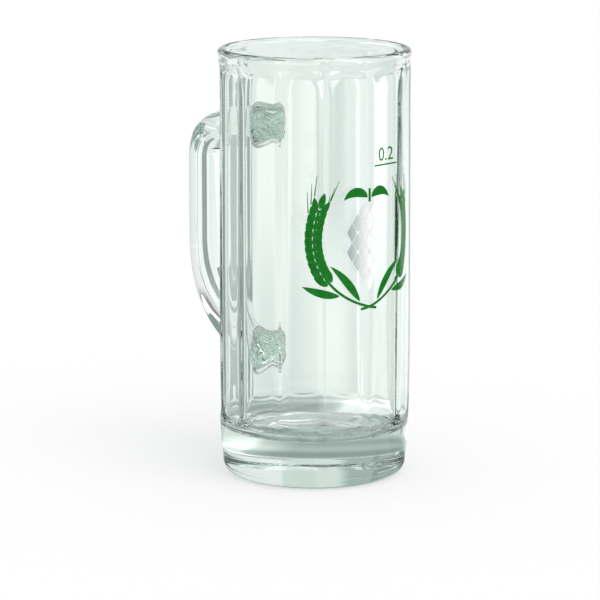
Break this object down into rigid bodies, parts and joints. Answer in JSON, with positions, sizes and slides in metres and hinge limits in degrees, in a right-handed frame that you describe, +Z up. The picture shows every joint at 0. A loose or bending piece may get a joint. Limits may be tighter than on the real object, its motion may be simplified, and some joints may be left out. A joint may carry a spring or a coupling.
{
  "type": "beer mug",
  "caption": "Tall clear glass beer mug with flat arched panels round a slightly barrelled body, parallel panels inside, a thick solid base, a fire-polished rim and a solid glass handle joined to the wall.",
  "frame": {"origin": "on the mug's axis, on the plane that its standing ring rests on", "axes": "+Z up along the mug's axis, +Y towards the handle, +X to the right for someone who faces the side opposite the handle"},
  "size_m": [0.0614, 0.0988, 0.137],
  "materials": {
    "clear_glass": "fire-polished soda-lime glass with a pale green tint",
    "green_enamel": "fired ceramic enamel print, glossy green",
    "white_enamel": "fired ceramic enamel print, glossy white"
  },
  "bodies": {
    "root": {"glass_body": "clear_glass", "handle": "clear_glass"}
  },
  "joints": []
}
